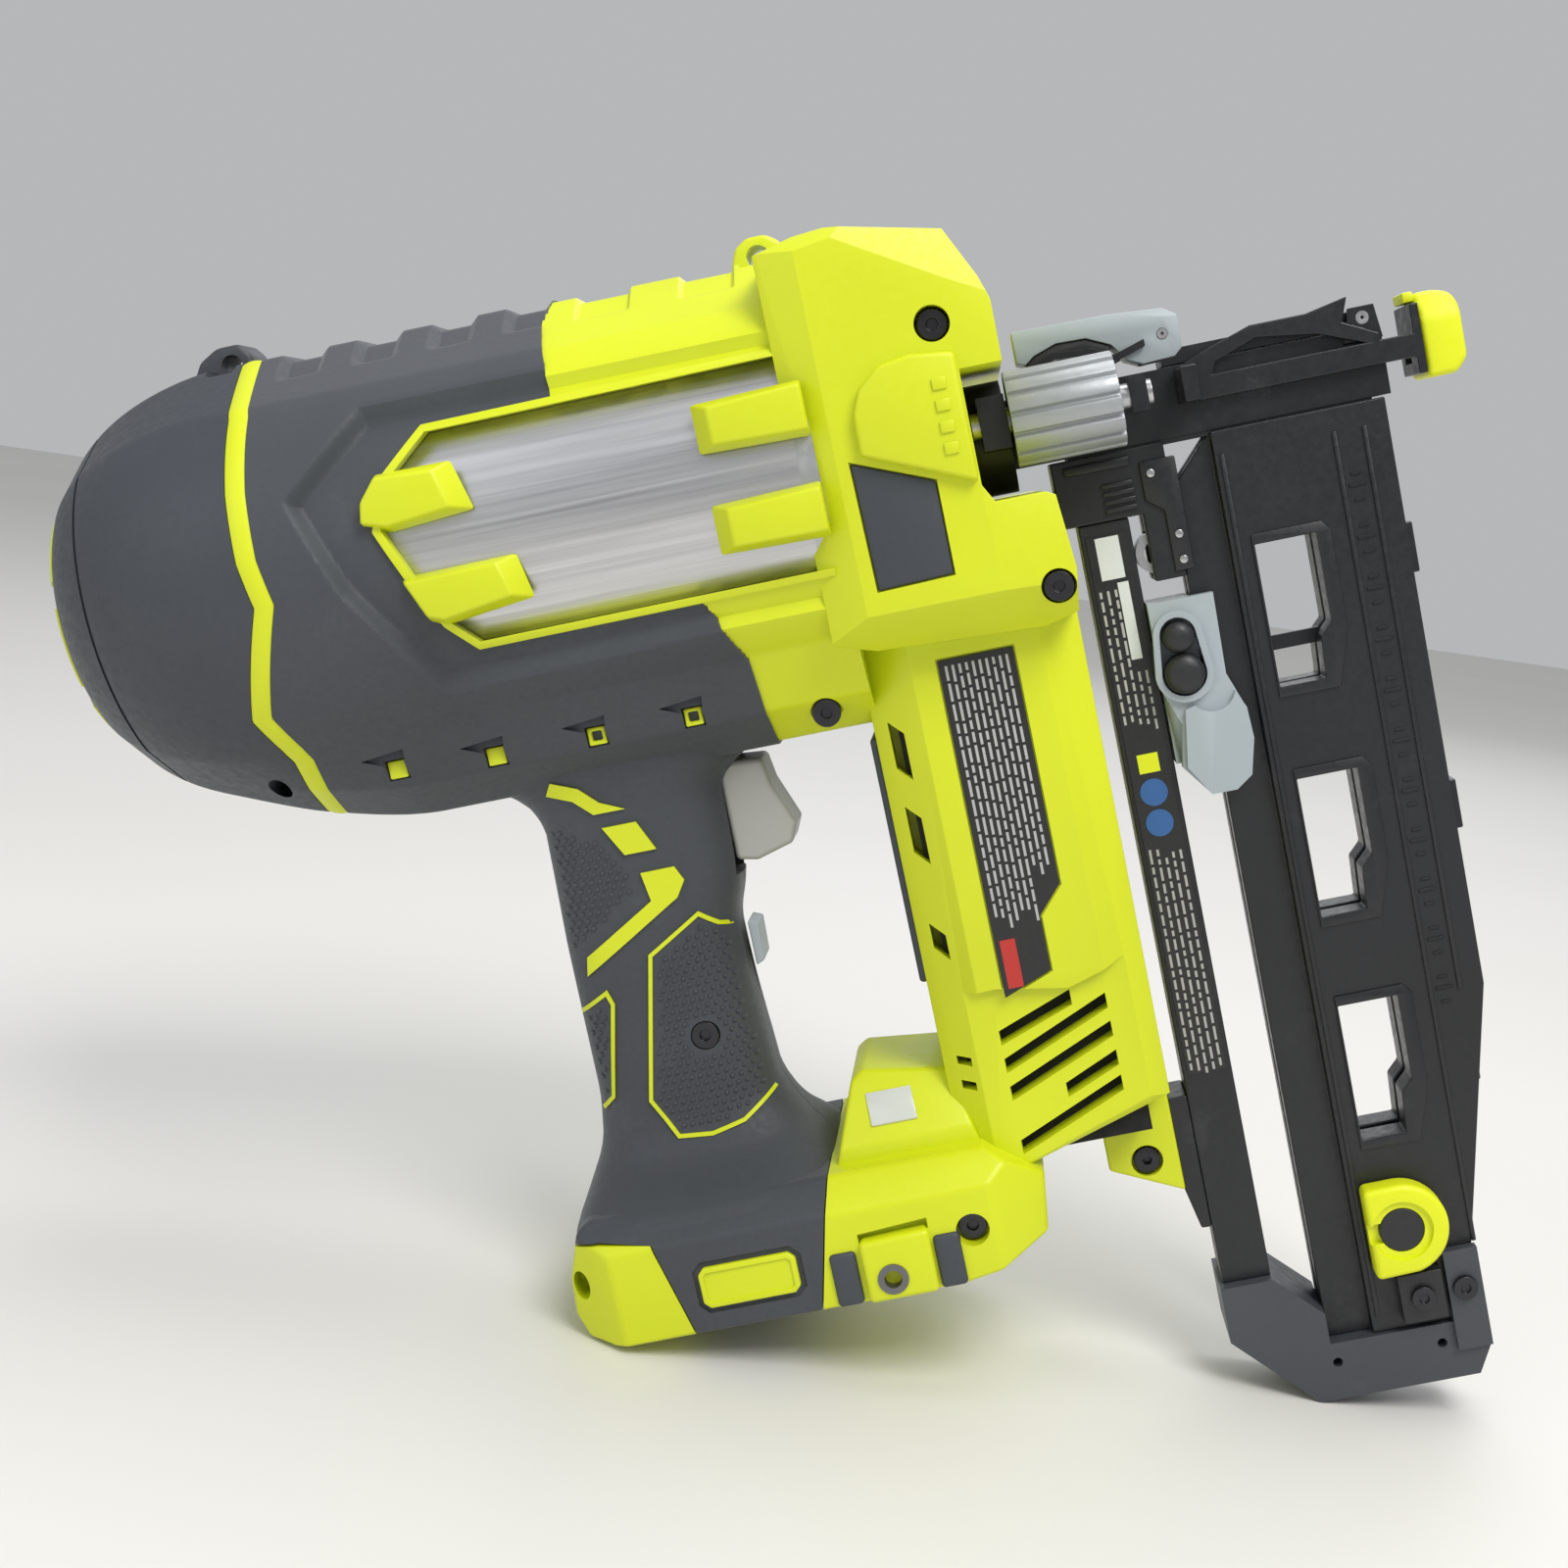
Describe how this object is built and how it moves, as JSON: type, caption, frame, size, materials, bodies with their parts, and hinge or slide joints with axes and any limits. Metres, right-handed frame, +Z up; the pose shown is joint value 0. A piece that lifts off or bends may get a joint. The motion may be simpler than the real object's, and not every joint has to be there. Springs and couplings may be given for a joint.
{
  "type": "cordless flooring and trim nailer",
  "caption": "Battery-powered air-spring nailer with a straight magazine, a sprung contact tip and a depth wheel, standing on its battery foot and magazine cap.",
  "frame": {"origin": "middle of the tool's length and width, on the surface it stands on", "axes": "+X towards the nose, +Y to the tool's left-hand side, +Z up; the drive axis is tilted nose-up by 19.48 degrees, as the tool stands on its foot heel and magazine cap"},
  "size_m": [0.3672, 0.1048, 0.2701],
  "materials": {
    "shell_lime": "fine spark-eroded moulded plastic",
    "mould_dark": "soft-touch overmould",
    "cap_dark": "moulded plastic",
    "band_lime": "moulded plastic",
    "insert_dark": "moulded plastic",
    "brushed_aluminium": "brushed along the barrel",
    "cast_aluminium": "as cast",
    "machined_steel": "ground",
    "black_steel": "black oxide",
    "screw_steel": "black zinc",
    "seal_rubber": "smooth",
    "magazine_black": "anodised black, satin",
    "cap_grey": "moulded plastic",
    "light_grey": "moulded plastic",
    "trigger_grey": "moulded plastic",
    "button_black": "moulded plastic",
    "wheel_silver": "satin metallic",
    "pad_yellow": "soft moulded",
    "label_black": "printed film",
    "board_green": "solder mask",
    "contact_brass": "plated",
    "clear_lens": "clear moulded lens",
    "motor_iron": "stamped",
    "magnet_grey": "sintered",
    "gear_steel": "cut"
  },
  "bodies": {
    "frame": {"air_cylinder": "brushed_aluminium", "bearings": "machined_steel", "bumper": "seal_rubber", "cap_band": "band_lime", "circuit_board": "board_green", "cylinder_end_plate": "cast_aluminium", "cylinder_front_plate": "cast_aluminium", "depth_screw": "machined_steel", "door_pin": "machined_steel", "drive_cylinder": "machined_steel", "end_plate_seal": "seal_rubber", "foot_badges": "band_lime", "foot_bars": "insert_dark", "gearbox_case": "cast_aluminium", "grip_insert": "light_grey", "head_inserts": "insert_dark", "hook_inserts": "contact_brass", "housing_left": "shell_lime", "housing_right": "shell_lime", "label_plates": "label_black", "light_lens": "clear_lens", "magazine_end_cap": "cap_grey", "magazine_mounts": "magazine_black", "magazine_track": "magazine_black", "motor_can": "motor_iron", "motor_magnets": "magnet_grey", "nail_rail": "magazine_black", "nose_block": "black_steel", "overmould_left": "mould_dark", "overmould_right": "mould_dark", "pad_peg": "button_black", "pusher_spring": "machined_steel", "rear_cap": "cap_dark", "screws": "screw_steel", "spare_pad": "pad_yellow", "terminal_block": "contact_brass", "trigger_switch": "button_black"},
    "trigger": {"trigger": "trigger_grey"},
    "contact_arm": {"contact_arm": "black_steel", "no_mar_tip": "pad_yellow"},
    "depth_wheel": {"depth_wheel": "wheel_silver"},
    "depth_stop": {"depth_stop": "black_steel"},
    "nose_door": {"nose_door": "black_steel", "latch_pin": "machined_steel"},
    "jam_latch": {"jam_latch": "light_grey", "latch_bail": "black_steel"},
    "pusher": {"pusher": "light_grey"},
    "pusher_button": {"pusher_button": "button_black"},
    "compression_piston": {"compression_piston": "cast_aluminium", "compression_seal": "seal_rubber", "connecting_rods": "machined_steel"},
    "drive_piston": {"drive_piston": "cast_aluminium", "drive_piston_ring": "seal_rubber", "driver_blade": "machined_steel"},
    "crank": {"crankshaft": "gear_steel", "crown_gear": "gear_steel"},
    "gear_output": {"output_pinion": "gear_steel", "planet_gears": "gear_steel"},
    "motor_rotor": {"motor_rotor": "motor_iron", "cooling_fan": "button_black"}
  },
  "joints": [
    {"name": "trigger_pull", "type": "slide", "parent": "frame", "child": "trigger", "axis": [-0.9428, 0, -0.3334], "range_m": [0, 0.0045], "stiffness_N_per_m": 900, "springref_m": -0.003},
    {"name": "contact_arm_press", "type": "slide", "parent": "frame", "child": "contact_arm", "axis": [-0.9428, 0, -0.3334], "range_m": [0, 0.006], "stiffness_N_per_m": 600, "springref_m": -0.005},
    {"name": "depth_wheel_turn", "type": "hinge", "parent": "frame", "child": "depth_wheel", "pos_m": [0.04539, -0.02, 0.22956], "axis": [0.9428, 0, 0.3334], "range_deg": [-432, 432]},
    {"name": "depth_stop_travel", "type": "slide", "parent": "frame", "child": "depth_stop", "axis": [0.9428, 0, 0.3334], "range_m": [-0.00121, 0.00121]},
    {"name": "nose_door_open", "type": "hinge", "parent": "frame", "child": "nose_door", "pos_m": [0.11087, 0, 0.26035], "axis": [0, 1, 0], "range_deg": [0, 70]},
    {"name": "jam_latch_lift", "type": "hinge", "parent": "nose_door", "child": "jam_latch", "pos_m": [0.0661, 0, 0.25046], "axis": [0, 1, 0], "range_deg": [0, 95]},
    {"name": "pusher_slide", "type": "slide", "parent": "frame", "child": "pusher", "axis": [0.3334, 0, -0.9428], "range_m": [0, 0.118], "stiffness_N_per_m": 12, "springref_m": -0.25},
    {"name": "pusher_button_press", "type": "slide", "parent": "pusher", "child": "pusher_button", "axis": [0, 1, 0], "range_m": [0, 0.0025], "stiffness_N_per_m": 500, "springref_m": -0.002},
    {"name": "compression_stroke", "type": "slide", "parent": "frame", "child": "compression_piston", "axis": [-0.9428, 0, -0.3334], "range_m": [0, 0.022]},
    {"name": "drive_stroke", "type": "slide", "parent": "frame", "child": "drive_piston", "axis": [0.9428, 0, 0.3334], "range_m": [0, 0.075]},
    {"name": "crank_turn", "type": "hinge", "parent": "frame", "child": "crank", "pos_m": [0.02522, 0, 0.1906], "axis": [0, 1, 0], "continuous": true},
    {"name": "gear_output_turn", "type": "hinge", "parent": "frame", "child": "gear_output", "pos_m": [0.03622, 0, 0.15949], "axis": [-0.3334, 0, 0.9428], "continuous": true},
    {"name": "motor_rotor_turn", "type": "hinge", "parent": "frame", "child": "motor_rotor", "pos_m": [0.05189, 0, 0.11518], "axis": [-0.3334, 0, 0.9428], "continuous": true}
  ],
  "couplings": [
    {"joint": "depth_stop_travel", "follows": "depth_wheel_turn", "m_per_rad": 0.00015915},
    {"joint": "gear_output_turn", "follows": "crank_turn", "ratio": 2.4},
    {"joint": "motor_rotor_turn", "follows": "crank_turn", "ratio": 11.1}
  ]
}
